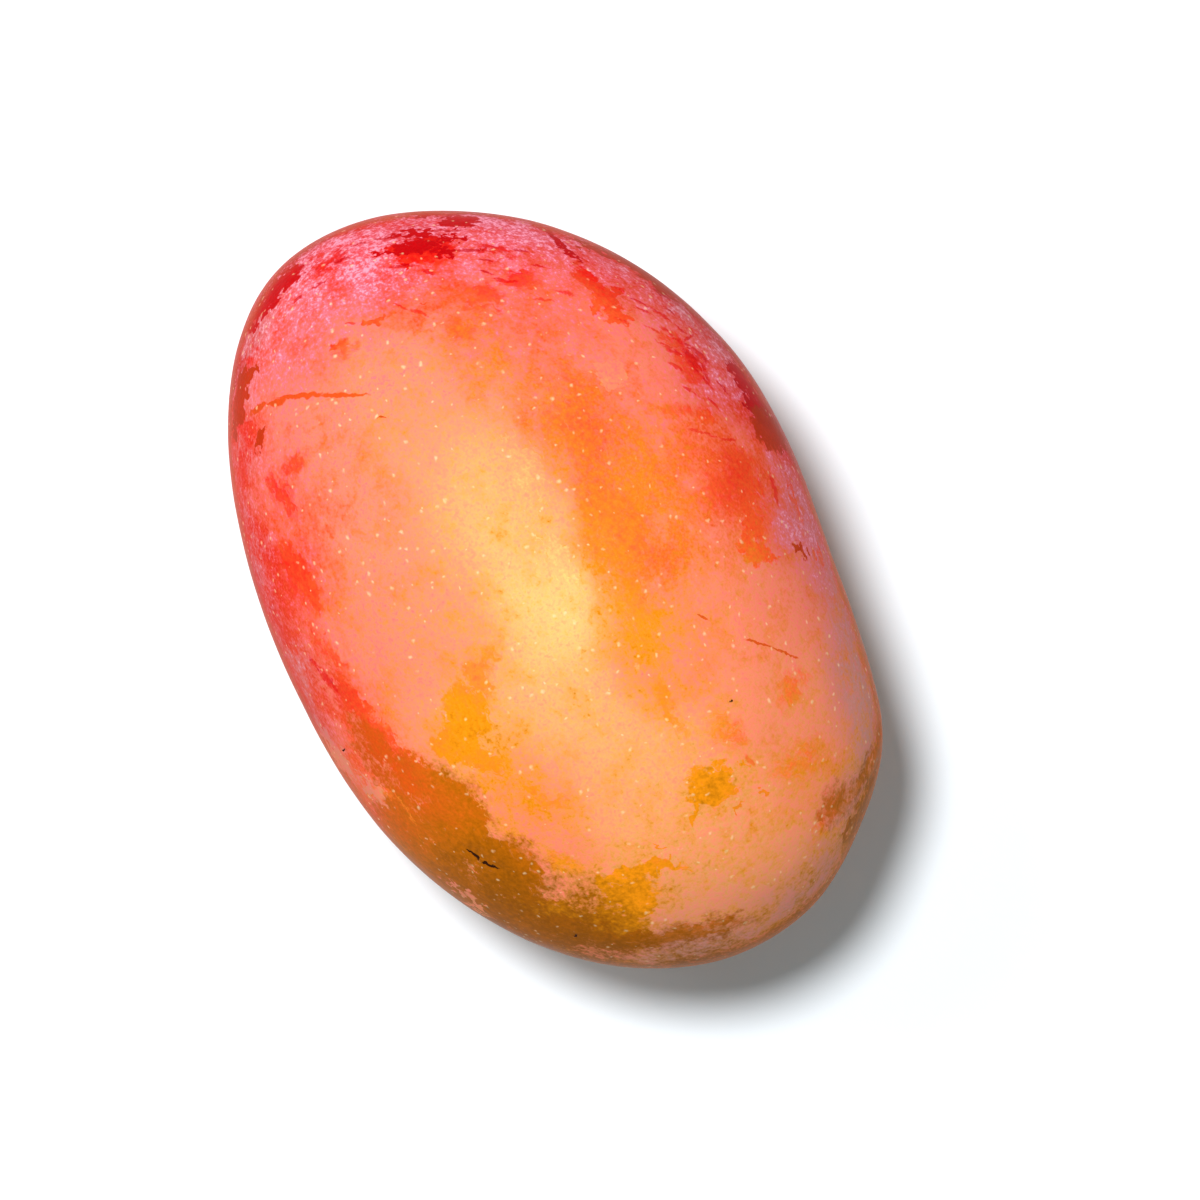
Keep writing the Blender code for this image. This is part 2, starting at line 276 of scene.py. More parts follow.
MARKS = rows(
    Mark,
    Kind.RUBBED,
    *numbered(
        "cap rub",
        (-18.7, -50.2, 5.7, 2.56, 2), (-22.1, -49.9, 3.6, 1.2), (-22.6, -48.5, 1.8, 0.75, 10),
    ),
    *numbered(
        "right rub",
        (5.4, -45.5, 3.3, 1.96, -45), (9.2, -43.7, 2.6, 0.68, 2), (9.6, -40.3, 2.6, 1.66, -20),
        (6.0, -41.5, 1.1, 0.75, -60), (7.7, -42.8, 3.0, 2.41, -50),
    ),
    ("red orange wipe, spot", 22.7, -25.0, 1.5, 1.36, -40),
    *numbered(
        "flank rub",
        (30.6, -4.7, 3.9, 1.96, -30), (29.5, -16.2, 3.9, 2.56, -60), (30.3, -9.8, 5.4, 2.11, -80),
    ),
    ("orange patch, core", -32.2, -35.6, 2.1, 0.68, 10),
    ("orange spots", -26.7, -39.4, 2.1, 0.68, 12),
    ("dot by the strokes", -19.1, -41.8, 0.6, 0.45),
    ("red blotch", -38.9, -3.5, 4.5, 1.51, -72),
    ("red blotch, lower", -36.8, 1.3, 5.1, 1.81, -58),
    *numbered(
        "red orange band",
        (-29.2, 18.2, 6.0, 1.51, -55), (-25.3, 23.9, 6.6, 2.56, -50), (-20.2, 29.3, 6.6, 3.61, -46),
    ),
    ("brown orange band", -22.3, 34.4, 6.6, 3.31, -46),
    *numbered(
        "bare flank",
        (-14.2, 37.2, 9.0, 5.72, -46), (-7.2, 43.0, 8.7, 5.42, -44), (0.6, 49.8, 8.7, 3.61, -26),
        (-13.6, 33.2, 8.7, 3.92, -48), (-16.9, 43.5, 15.1, 4.82, -42),
        (-4.8, 50.7, 12.0, 3.61, -32), (-22.3, 37.2, 7.5, 3.92, -48),
    ),
    ("bare bottom", 8.7, 51.9, 7.5, 3.92, -8),
    ("bare bottom, right", 13.2, 47.7, 3.6, 2.71, 20),
    ("bare finger", 14.0, 42.9, 7.8, 1.36, 4),
    ("bare finger, root", 8.1, 44.4, 3.6, 2.11, 10),
    *numbered(
        "amber patch",
        (-13.3, 21.2, 7.2, 4.52, -84), (-10.2, 26.6, 4.8, 2.71, -20), (-15.1, 23.9, 3.6, 2.41, -70),
    ),
    ("small amber spot", -3.0, 30.7, 2.0, 0.9, 20),
    *numbered(
        "olive patch",
        (24.1, 29.0, 4.8, 2.11, 22), (23.0, 31.9, 3.3, 1.81, -30), (24.7, 31.1, 3.9, 2.26, 12),
    ),
    ("olive finger", 21.7, 34.9, 2.7, 0.68, 70),
    ("second olive finger", 27.7, 34.3, 1.4, 0.39, 70),
    ("olive dot", 31.0, 31.4, 0.6, 0.6),
    ("olive streak", 29.7, 26.8, 1.2, 0.3, -38),
    ("dash", 16.4, 39.9, 1.4, 0.27, 4),
    ("second rubbed crease", 48.9, 23.3, 3.9, 0.9, 78),
    ("bare foot", 11.4, 46.2, 5.1, 3.61, 30),
    ("rubbed rim", 46.5, 33.2, 9.0, 0.75, 64),
) + rows(
    Mark,
    Kind.FAINT,
    ("smudge left on the rim", -28.6, -53.4, 3.6, 0.75, 12),
    ("smudge far left on the rim", -33.4, -48.4, 4.5, 1.2, 38),
    ("streaks right of the cap", -8.3, -50.2, 5.1, 1.36, -14),
    ("streaks below the cap", -4.8, -45.7, 4.5, 2.11, -14),
    ("orange rub, upper", -10.5, -42.7, 4.5, 2.41, -10),
    ("orange rub, upper left", -13.6, -37.8, 3.9, 1.81, -18),
    ("hatched rub", 17.5, -36.9, 3.9, 1.51, -34),
    ("hatched rub, round it", 20.8, -32.7, 5.1, 2.41, -50),
    ("red orange wipe", 18.1, -25.8, 5.7, 1.66, -4),
    *numbered(
        "flank rub",
        (28.6, -16.5, 6.0, 4.52, -60), (30.4, -10.3, 8.1, 3.61, -80), (25.6, -14.0, 5.4, 3.92, -70),
    ),
    ("mauve streak", 36.4, -12.5, 5.1, 0.45, -72),
    ("second mauve flank spot", 40.2, -4.7, 2.1, 0.6, -64),
    ("orange patch", -31.5, -35.1, 3.3, 2.26, 22),
    ("brown orange wipe", -38.0, -17.8, 3.3, 2.11, 40),
    ("red wipe on the left flank", -40.5, -13.3, 5.4, 1.96, -70),
    ("red blotch, round it", -37.5, -0.2, 7.8, 3.31, -62),
    ("red band", -33.1, 10.8, 6.6, 1.81, -62),
    ("amber link", -10.5, 12.2, 6.6, 2.11, 50),
    ("amber haze", -11.2, 16.1, 7.5, 3.61, 75),
    ("small amber haze", -0.6, 32.2, 3.9, 1.66, -15),
    ("orange haze above the olive patch", 26.5, 22.8, 5.1, 2.71, -30),
    ("orange haze on the right", 36.9, 26.9, 6.0, 3.31, 30),
    ("orange haze at the lower right", 40.1, 36.9, 3.0, 1.66, 40),
    ("orange haze at the foot", 1.5, 42.3, 3.3, 1.81, -10),
    ("brown smudges at the bottom", 20.8, 52.2, 12.7, 1.96, 8),
    ("rubbed skin by the corner", 42.8, 33.1, 5.7, 3.01, 52),
    ("rubbed crease", 47.0, 27.8, 8.1, 1.2, 60),
    *numbered(
        "orange band",
        (3.9, -23.8, 11.1, 5.12, -66), (9.0, -9.5, 11.7, 6.93, -58), (13.2, 5.5, 9.9, 3.92, -74),
    ),
    ("orange rub above the olive patch", 25.9, 22.4, 5.4, 3.01, -30),
    ("orange haze, right of the middle", 35.8, 16.1, 4.5, 2.71, 60),
    ("soft streak by the band", 17.5, 18.2, 6.6, 2.11, -52),
) + rows(
    Mark,
    Kind.CRIMSON,
    ("streak above the cap rub", -20.8, -52.3, 3.9, 0.54, 3),
    ("second streak above it", -15.1, -51.7, 3.0, 0.39, 1),
    ("long streak left of it", -24.1, -49.4, 3.3, 0.33, 5),
    ("dark rub on the cap", -13.7, -54.4, 3.9, 1.28, 4),
    ("smudge on the rim", -19.1, -55.5, 3.9, 0.75, -4),
    ("slanting rub on the right", 0.3, -51.7, 3.2, 0.63, -44),
    ("slanting rub, lower end", 3.3, -49.0, 2.1, 0.45, -30),
    ("edge rub, upper", 28.8, -30.2, 4.8, 1.2, -52),
    ("edge rub, middle", 30.9, -26.5, 4.2, 1.81, -56),
    *numbered(
        "left shoulder rub",
        (-39.8, -45.5, 3.9, 1.66, 44), (-42.5, -42.2, 5.1, 1.51, 50), (-44.6, -39.0, 2.3, 0.6, 58),
    ),
    ("dark red in the cap rub", -20.2, -50.5, 3.9, 1.2, 4),
    ("dark red in the cap rub, right", -16.0, -49.6, 2.1, 0.9, 4),
) + rows(
    Mark,
    Kind.BROWN,
    ("edge rub, lower", 32.5, -22.9, 4.8, 2.41, -55),
    ("mauve flank spot", 37.2, -4.9, 2.0, 0.51, -52),
    *numbered(
        "left wall rub",
        (-46.8, -27.6, 6.0, 1.36, 82), (-45.6, -30.9, 2.4, 0.9, 62), (-47.4, -24.0, 3.0, 0.75, 88),
    ),
    ("left wall tick", -43.7, -22.0, 2.3, 0.6, 72),
    ("maroon edge", 14.0, -46.3, 8.4, 1.05, -37),
    ("maroon edge, left part", 6.9, -49.9, 6.0, 0.6, -24),
    ("speck on the upper left", -25.3, -24.9, 0.5, 0.39, -20),
) + rows(
    Mark,
    Kind.TANNED,
    ("brown patch by the corner", 43.1, 32.9, 6.0, 3.31, 52),
    ("brown crease", 47.0, 27.8, 8.1, 1.36, 60),
    ("second brown crease", 48.9, 23.3, 3.9, 1.05, 78),
    ("bottom smudge", 20.8, 52.2, 12.0, 2.41, 8),
    ("tan on the upper flank", -25.3, 26.3, 9.3, 3.31, -52),
    ("tan on the flank", -16.0, 33.8, 13.3, 7.23, -47),
    ("tan below it", -10.8, 41.1, 12.0, 7.53, -44),
    ("tan at the edge", -12.4, 45.9, 18.1, 6.02, -40),
    ("brown rim", 46.5, 33.2, 9.0, 0.68, 64),
    ("tan by the split", -4.8, 42.9, 8.1, 5.42, -46),
    ("tan at the lower edge", 3.5, 53.0, 12.0, 3.61, -14),
    ("tan at the upper edge", -23.2, 36.3, 6.6, 3.61, -48),
) + rows(
    Mark,
    Kind.STROKE,
    ("spot below the cap rub", -18.5, -46.7, 1.4, 0.48, -22),
    *numbered(
        "hatch",
        (-7.1, -45.4, 2.6, 0.33, -7), (2.0, -43.6, 2.6, 0.36, -14), (-1.1, -42.5, 2.4, 0.3, -8),
        (-9.8, -46.6, 1.8, 0.3, -12),
    ),
    ("line right of it", 13.2, -42.1, 2.3, 0.33, -26),
    ("line at the right edge", 16.6, -43.3, 2.7, 0.33, -30),
    *numbered(
        "hatched rub",
        (19.9, -35.9, 3.0, 0.45, -30), (18.1, -34.8, 2.7, 0.45, -24), (21.5, -33.3, 3.9, 1.51, -52),
        (17.3, -37.8, 2.1, 0.36, -38), (20.6, -36.9, 2.1, 0.33, 35), (22.3, -34.2, 2.7, 0.45, -44),
        (16.3, -40.3, 3.0, 0.36, -34), (23.2, -30.9, 1.8, 0.45, -60), (23.2, -30.3, 2.3, 0.45, -56),
    ),
    ("short line", -30.1, -39.0, 1.5, 0.27, -4),
    ("stroke", -22.6, -41.5, 1.8, 0.27, -28),
    ("second stroke", -20.0, -40.6, 2.0, 0.36, -20),
    ("crimson streak", -33.7, 14.3, 3.9, 0.75, -54),
    ("second crimson streak", -35.4, 12.2, 2.4, 0.6, -50),
    ("flank stroke", 33.4, -14.0, 3.9, 0.39, -76),
    *numbered(
        "thin stroke on the right",
        (15.1, -38.1, 2.0, 0.27, -30), (16.9, -35.7, 2.3, 0.27, -26), (19.3, -38.1, 1.8, 0.27, -36),
        (18.7, -32.4, 2.1, 0.3, -30), (20.8, -28.8, 2.1, 0.3, -36), (24.1, -27.0, 2.3, 0.3, -48),
        (13.8, -40.9, 2.0, 0.24, -30), (10.5, -39.4, 1.8, 0.24, -22), (25.6, -29.4, 2.1, 0.27, -50),
        (17.5, -40.9, 1.8, 0.24, -34),
    ),
    *numbered(
        "thin stroke on the left",
        (-31.6, -48.4, 2.1, 0.27, 20), (-34.9, -44.8, 2.1, 0.27, 32), (-38.0, -42.7, 2.0, 0.27, 40),
        (-28.9, -50.8, 2.3, 0.27, 12), (-33.4, -51.7, 1.8, 0.27, 26),
    ),
    *numbered(
        "thin stroke on the cap",
        (-4.8, -49.9, 2.1, 0.27, -8), (-1.8, -47.5, 2.1, 0.27, -12), (-9.9, -48.4, 2.0, 0.27, -6),
    ),
    ("streak right of the olive patch", 29.7, 26.6, 1.8, 0.45, -50),
    *numbered(
        "cap stroke",
        (-12.4, -49.9, 3.3, 0.36), (-25.0, -51.7, 2.7, 0.33, 6), (-22.1, -47.5, 3.0, 0.36, 4),
        (-16.9, -52.9, 4.5, 0.36),
    ),
    ("upper right scratch", 22.7, -22.5, 3.6, 0.33, -17),
    ("upper right scratch, end", 26.2, -21.6, 2.1, 0.3, -8),
) + rows(
    Mark,
    Kind.PALE,
    ("pale lobe", -26.8, 30.5, 4.5, 1.51, -56),
    ("pale rim", -32.2, 25.4, 8.4, 1.66, -60),
    ("pale band by the edge", -12.7, 47.4, 6.0, 0.6, -38),
    # Bloom kept whole round the cream of the middle: partly the skin's own, partly painted
    # highlight.
    ("edge of the cream", -3.6, -17.1, 9.0, 3.31, -66),
    ("edge of the cream, lower", 1.2, -3.5, 7.5, 2.71, -60),
    ("pale above the band", 9.0, -31.5, 4.8, 2.41, -30),
) + rows(
    Mark,
    Kind.SCRATCH,
    *numbered(
        "long scratch",
        (-44.0, -26.2, 2.0, 0.66, 36), (-41.3, -27.0, 1.8, 0.69, 10), (-37.4, -28.1, 5.1, 0.54, 4),
        (-31.6, -28.2, 5.4, 0.42),
    ),
    ("right scratch", 31.0, 9.0, 2.7, 0.24, -16),
    ("right scratch, end", 35.1, 10.5, 2.7, 0.26, -24),
    ("short scratch", 22.6, 5.1, 1.1, 0.23, -34),
) + rows(
    Mark,
    Kind.SPLIT,
    ("split, first part", -11.8, 40.6, 1.8, 0.26, -40),
    ("split, second part", -9.2, 42.3, 2.0, 0.29, -26),
    ("speck on the right", 26.8, 17.6, 0.3, 0.3),
    ("speck at the bottom", 3.5, 52.8, 0.3, 0.33),
    ("speck on the left", -31.2, 25.1, 0.3, 0.27),
)

FRAYING = {
    Kind.RUBBED: Fraying(Edge.WANDERING, 0.10, 0.30),
    Kind.FAINT: Fraying(Edge.WANDERING, 0.03, 0.70, 0.9),
    Kind.CRIMSON: Fraying(Edge.RAGGED, 0.08, 0.20),
    Kind.BROWN: Fraying(Edge.RAGGED, 0.08, 0.20),
    Kind.TANNED: Fraying(Edge.WANDERING, 0.04, 0.28, 0.9),
    Kind.STROKE: Fraying(Edge.STEADY, 0.08, 0.60, 0.8),
    Kind.PALE: Fraying(Edge.WANDERING, 0.14, 0.40, 0.9),
    Kind.SCRATCH: Fraying(Edge.STEADY, 0.08, 0.35),
    Kind.SPLIT: Fraying(Edge.STEADY, 0.14, 0.45),
}

CREASES = (
    Crease("fold by the corner", (43.8, 32.6), (47.6, 26.6), 0.16, 0.9),
    Crease("second fold by the corner", (45.2, 33.5), (48.8, 27.2), 0.14, 0.9),
    Crease("fold above the corner", (47.6, 26.6), (49.1, 21.8), 0.18, 1.0),
    Crease("dent by the corner", (41.6, 33.5), (44.3, 30.5), 0.14, 1.6),
    Crease("groove of the split", (-13.0, 39.7), (-7.8, 42.9), 0.16, 0.8),
    Crease("lines on the flank", (-25.9, 22.8), (-20.2, 31.1), 0.10, 1.0),
)


def linear(hex_colour: str) -> tuple[float, float, float, float]:
    """Turn an sRGB hex colour into linear red, green, blue and alpha.

    Args:
        hex_colour: Six hex digits after a hash sign.

    Returns:
        The linear colour, with an alpha of 1.
    """
    parts = [int(hex_colour[at:at + 2], 16) / 255 for at in (1, 3, 5)]
    shades = [at / 12.92 if at <= 0.04045 else ((at + 0.055) / 1.055) ** 2.4 for at in parts]
    return (*shades, 1.0)


def smooth_step(low: float, high: float, value: float) -> float:
    """Rise smoothly from 0 at the low value to 1 at the high one, or fall if low is above high."""
    share = min(max((value - low) / (high - low), 0.0), 1.0)
    return share * share * (3.0 - 2.0 * share)


@dataclass(frozen=True)
class Surface:
    """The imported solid's surface, for finding the place of something seen in the picture."""

    tree: BVHTree

    def find(self, right: float, down: float, side: Side) -> Vector:
        """Find the place on the skin that the picture shows here.

        Args:
            right: How far right of the fruit's middle it is, at the girth's scale.
            down: How far below the fruit's middle it is in the picture.
            side: The upper side, seen by the camera, or the side straight below it.

        Returns:
            The place on the surface.
        """
        x = right * math.cos(ROLL) + down * math.sin(ROLL)
        y = right * math.sin(ROLL) - down * math.cos(ROLL)
        aim = Vector((x, y, GIRTH_HEIGHT))
        eye = Vector((*CAMERA_OVER, GIRTH_HEIGHT + side.value * CAMERA_HEIGHT))
        hit = self.tree.ray_cast(eye * MM, (aim - eye).normalized())[0]
        if hit is None:
            raise ValueError(f"nothing of the fruit is at {right}, {down}")
        return hit / MM

    def scar(self) -> Vector:
        """Find the middle of the stem scar."""
        drop = math.radians(SCAR_DROP)
        way = Vector((-math.cos(drop), 0.0, -math.sin(drop)))
        return self.tree.ray_cast((Vector(FRUIT_MIDDLE) + way * OUTSIDE) * MM, -way)[0] / MM


@dataclass(frozen=True)
class Mottle:
    """A noise in the skin: the size of its large spots, its detail and its roughness."""

    size: float
    detail: float
    roughness: float = 0.5

    def at(self, place: Socket) -> dict[str, object]:
        """Give a noise node's inputs for these places."""
        look = {"Scale": 1.0 / self.size, "Detail": self.detail, "Roughness": self.roughness}
        return {"Vector": place, **look}


@dataclass(frozen=True)
class Patterns:
    """The places and the patterns that the layers of the skin share.

    Edges are the places in millimetres, shifted about as each Edge says. Across and along are
    the streaks of wiping. Mottled mixes clouds, grain and speckle.
    """

    edges: dict[Edge, Socket]
    across: Socket
    along: Socket
    clouds: Socket
    grain: Socket
    speckle: Socket
    drift: Socket
    mottled: Socket


@dataclass(frozen=True)
class RipeSkin:
    """Living mango skin: tree-ripened, under its own wax, and rubbed in picking and packing.

    Where the wax is whole it dulls the red and orange to soft pink and peach, and the gloss
    to satin. Where it is wiped off, the skin is saturated and shines a little. The pale dots
    are lenticels, the pores that the skin breathes through.
    """

    made: bpy.types.Material

    bare: tuple[tuple[float, str], ...] = (
        (0.00, "#A25A08"), (0.15, "#C8760A"), (0.30, "#EE8C10"), (0.44, "#F07C24"),
        (0.60, "#F25626"), (0.75, "#E63A1E"), (0.88, "#E01A10"), (1.00, "#BE0208"),
    )
    bloomed: tuple[tuple[float, str], ...] = (
        (0.00, "#F8D07C"), (0.15, "#F4B872"), (0.30, "#F2A066"), (0.45, "#F28A62"),
        (0.60, "#EE7C62"), (0.75, "#EA6862"), (0.88, "#E4687A"), (1.00, "#EC8CA0"),
    )
    # The colours of sun-tanned bare skin, also used for the painted shade of the band round the
    # girth.
    sunned_and_girth_shade: tuple[tuple[float, str], ...] = (
        (0.00, "#9A5404"), (0.25, "#B45C06"), (0.50, "#CE5A0E"), (0.75, "#D24810"),
        (1.00, "#B83408"),
    )
    chafed: str = "#B03004"
    # The grey of old bloom, and along the outline the grey of painted shade and sheen.
    aged_bloom_and_sheen_grey: str = "#BE8A80"
    dot: str = "#FFE2AE"
    scratched: str = "#D04C18"
    split: str = "#34160A"
    cork: str = "#A8845C"
    cork_dark: str = "#56392A"

    # Real bloom has finer grain than these, but it wouldn't show.
    clouds: Mottle = Mottle(4.5, 4.0, 0.62)
    grain: Mottle = Mottle(0.9, 2.0, 0.6)
    speckle: Mottle = Mottle(0.4, 1.0)
    drift: Mottle = Mottle(9.0, 3.0)
    streak: Mottle = Mottle(1.0, 3.0, 0.65)
    streak_sizes: tuple[float, float, float] = (5.0, 0.7, 1.4)
    streak_levels: tuple[float, ...] = (0.34, 0.66, 0.4, 1.5)

    # The shares of grain and speckle in the mottling, and how far the bloom swings with
    # clouds, grain and speckle, and the colours with the mottling.
    grain_share: float = 0.6
    speckle_share: float = 0.35
    bloom_swings: tuple[float, float, float] = (2.5, 1.6, 0.7)
    tint_swing: float = 1.4
    ground_swing: float = 0.75

    # Smooth noise mostly keeps to the middle quarter of its range, so it is widened so much.
    widening: float = 4.0

    # Marks steeper than this in the picture were wiped along the flank, at this turn.
    steep: float = 35.0
    flank_turn: float = -58.0

    # How far a mark reaches above and below its middle, beyond its own size.
    mark_depth: float = 8.0

    # How much darker crimson marks make the bare skin, how patchy chafing is, how much of a
    # scratch shows, and the shade of the whole skin in its darkest and its lightest spots.
    blush: float = 0.16
    patchiness: tuple[float, float] = (0.4, 1.2)
    scratch_share: float = 0.8
    shades: tuple[float, float] = (0.80, 1.15)

    # Lenticels stand about a cell apart. Their radius, in shares of a cell, is the least one
    # and up to the range more. That is 0.3 to 1 mm across, a little more than real ones, which
    # would hardly show.
    cell: float = 1.9
    least_dot: float = 0.08
    dot_range: float = 0.20
    dot_share: float = 0.45

    # The wax scatters the light, so next to no mirror light is left of its IOR of 1.4. The broad
    # sheen on the top is a painted highlight in the cream of the bloom instead.
    ior: float = 1.4
    specular: float = 0.01
    bare_roughness: float = 0.33
    bloomed_roughness: float = 0.52
    roughness_swing: float = 0.16
    cork_roughness: float = 0.85
    cork_reach: float = 6.0
    cork_edge: tuple[float, float] = (0.22, 0.38)

    # Relief too fine for the mesh.
    dot_height: float = 0.05
    grain_height: float = 0.05
    cloud_height: float = 0.06
    split_height: float = -0.25
    relief_strength: float = 0.8

    def add(
        self, kind: str, inputs: tuple | dict, output: int | str = 0, **settings: object
    ) -> Socket:
        """Add a node, set its properties, and set or link its inputs.

        Args:
            kind: The node type's identifier, without ShaderNode.
            inputs: What the inputs get, in order, or by name or number. A socket is linked,
                and anything else becomes the input's own value. A Mix node has its numbers
                at 2 and 3 and its colours at 6 and 7.
            output: Which output to give back.
            settings: The node's properties, such as operation or data_type.

        Returns:
            The output.
        """
        tree = self.made.node_tree
        node = tree.nodes.new("ShaderNode" + kind)
        for name, value in settings.items():
            setattr(node, name, value)
        for name, value in inputs.items() if isinstance(inputs, dict) else enumerate(inputs):
            if isinstance(value, Socket):
                tree.links.new(value, node.inputs[name])
            else:
                node.inputs[name].default_value = value
        return node.outputs[output]

    def fill(self, ramp: Socket, stops: tuple[tuple[float, str], ...]) -> Socket:
        """Give a colour ramp its stops.

        Args:
            ramp: The ramp's output.
            stops: Place and hex colour of each stop, in order.

        Returns:
            The same output.
        """
        elements = ramp.node.color_ramp.elements
        while len(elements) < len(stops):
            elements.new(1.0)
        for element, (place, colour) in zip(elements, stops):
            element.position = place
            element.color = linear(colour)
        return ramp

    def swung(self, value: Socket, source: Socket, depth: float, clamp: bool = False) -> Socket:
        """Let a value swing over this depth with a noise, which runs from 0 to 1 round 0.5."""
        swing = self.add("Math", (source, depth, -depth / 2), operation="MULTIPLY_ADD")
        return self.add("Math", (value, swing), operation="ADD", use_clamp=clamp)

    def shifted(self, place: Socket, edge: Edge) -> Socket:
        """Shift places about at random, so that what is drawn there gets a wandering edge.

        Args:
            place: The place on the skin in millimetres.
            edge: How wide one wander is and how far it goes.

        Returns:
            The shifted place.
        """
        width, shift = edge.value
        cloud = self.add("TexNoise", Mottle(width, 2.0).at(place), "Color")
        centred = self.add("VectorMath", (cloud, (0.5, 0.5, 0.5)), operation="SUBTRACT")
        reach = (self.widening * shift,) * 3
        return self.add("VectorMath", (centred, reach, place), operation="MULTIPLY_ADD")

    def streaks(self, place: Socket, turn: float) -> Socket:
        """Draw the streaks that wiping leaves, from 0.4 between them to 1.5 along them.

        Args:
            place: The place on the skin in millimetres.
            turn: Which way the skin was wiped, in degrees from the picture's right.

        Returns:
            The streaks.
        """
        way = (0.0, 0.0, ROLL + math.radians(turn))
        inputs = {"Vector": place, "Rotation": way, "Scale": self.streak_sizes}
        along = self.add("Mapping", inputs, vector_type="TEXTURE")
        threads = self.add("TexNoise", self.streak.at(along))
        return self.add("MapRange", (threads, *self.streak_levels))

    def patterns(self) -> Patterns:
        """Draw the places, streaks and noises that the layers share.

        Returns:
            The shared patterns.
        """
        seen = self.add("TexCoord", (), "Object")
        place = self.add("VectorMath", {0: seen, "Scale": 1.0 / MM}, operation="SCALE")
        ragged = self.shifted(place, Edge.RAGGED)
        edges = {
            Edge.STEADY: self.shifted(place, Edge.STEADY),
            Edge.RAGGED: ragged,
            Edge.WANDERING: self.shifted(ragged, Edge.WANDERING),
        }
        clouds = self.add("TexNoise", self.clouds.at(ragged))
        grain = self.add("TexNoise", self.grain.at(place))
        speckle = self.add("TexNoise", self.speckle.at(place))
        mottled = self.add("Mix", {0: self.grain_share, 2: clouds, 3: grain})
        return Patterns(
            edges=edges,
            across=self.streaks(ragged, 0.0),
            along=self.streaks(ragged, self.flank_turn),
            clouds=clouds,
            grain=grain,
            speckle=speckle,
            drift=self.add("TexNoise", self.drift.at(place)),
            mottled=self.add("Mix", {0: self.speckle_share, 2: mottled, 3: speckle}),
        )

    def strength(self, place: Socket, spots: list[tuple[Mark, Vector]]) -> Socket:
        """Draw marks, each falling from 1 in its middle to 0 at its edge, and keep the strongest.

        Args:
            place: The place on the skin in millimetres.
            spots: The marks, each with its middle on the skin.

        Returns:
            The strength of the strongest mark.
        """
        strongest = None
        for mark, middle in spots:
            turn = (0.0, 0.0, ROLL + math.radians(mark.turn))
            depth = max(mark.length, mark.width) + self.mark_depth
            inputs = (place, middle, turn, (mark.length, mark.width, depth))
            inside = self.add("Mapping", inputs, vector_type="TEXTURE", label=mark.name)
            ball = self.add("TexGradient", (inside,), "Fac", gradient_type="SPHERICAL")
            if strongest is not None:
                ball = self.add("Math", (strongest, ball), operation="MAXIMUM")
            strongest = ball
        return strongest

    def wear(self, patterns: Patterns, marks: list[tuple[Mark, Vector]]) -> dict[Kind, Socket]:
        """Draw each kind of mark, frayed along the streaks that run its way.

        Args:
            patterns: The shared patterns.
            marks: Each mark with its middle on the skin.

        Returns:
            How worn the skin is by each kind of mark.
        """
        wear = {}
        for kind, fraying in FRAYING.items():
            worst = None
            for streaks, steep in ((patterns.across, False), (patterns.along, True)):
                spots = [
                    spot for spot in marks
                    if spot[0].kind is kind and (abs(spot[0].turn) > self.steep) is steep
                ]
                if spots:
                    strength = self.strength(patterns.edges[fraying.edge], spots)
                    frayed = self.add("Math", (strength, streaks), operation="MULTIPLY")
                    steps = (frayed, fraying.low, fraying.high, 0.0, fraying.most)
                    worn = self.add("MapRange", steps, interpolation_type="SMOOTHSTEP")
                    if worst is not None:
                        worn = self.add("Math", (worst, worn), operation="MAXIMUM")
                    worst = worn
            wear[kind] = worst
        return wear

    def bloom(self, patterns: Patterns, wear: dict[Kind, Socket]) -> Socket:
        """Work out how much bloom the mottling and the marks leave.

        Args:
            patterns: The shared patterns.
            wear: How worn the skin is by each kind of mark.

        Returns:
            The bloom that is left, from 0 to 1.
        """
        wax = self.add("Attribute", (), "Fac", attribute_name="wax")
        sources = (patterns.clouds, patterns.grain, patterns.speckle)
        for source, depth in zip(sources, self.bloom_swings):
            wax = self.swung(wax, source, depth, clamp=True)
        for kind in (Kind.FAINT, Kind.RUBBED, Kind.CRIMSON, Kind.BROWN, Kind.STROKE, Kind.SCRATCH):
            left = self.add("Math", (1.0, wear[kind]), operation="SUBTRACT")
            wax = self.add("Math", (wax, left), operation="MULTIPLY")
            if kind is Kind.RUBBED:
                wax = self.add("Math", (wax, wear[Kind.PALE]), operation="MAXIMUM")
        return wax

    def ripened(self, patterns: Patterns, wear: dict[Kind, Socket], wax: Socket) -> Socket:
        """Mix the colour of bare skin with the colour under whole bloom.

        Args:
            patterns: The shared patterns.
            wear: How worn the skin is by each kind of mark.
            wax: The bloom that is left.

        Returns:
            The skin's own colour.
        """
        names = ("tint", "ground", "dull", "tan")
        tint, ground, dull, tan = (
            self.add("Attribute", (), "Fac", attribute_name=name) for name in names
        )
        mixed = self.add("Mix", {0: 0.5, 2: patterns.drift, 3: patterns.grain})
        ground = self.swung(ground, mixed, self.ground_swing)
        tint = self.swung(tint, patterns.mottled, self.tint_swing)

        # Bare skin: more crimson where it is rubbed hard, and tanned where the sun burnt it and in
        # the band round the girth, where the tan is painted shade.
        rubbed = (wear[Kind.CRIMSON], wear[Kind.STROKE])
        crimson = self.add("Math", rubbed, operation="MAXIMUM")
        blushed = self.add(
            "Math", (crimson, self.blush, ground), operation="MULTIPLY_ADD", use_clamp=True
        )
        bare = self.fill(self.add("ValToRGB", (blushed,)), self.bare)
        sunned_and_girth_shade = self.fill(self.add("ValToRGB", (ground,)), self.sunned_and_girth_shade)
        tan = self.add("Math", (tan, wear[Kind.TANNED]), operation="MAXIMUM")
        bare = self.add("Mix", {0: tan, 6: bare, 7: sunned_and_girth_shade}, 2, data_type="RGBA")

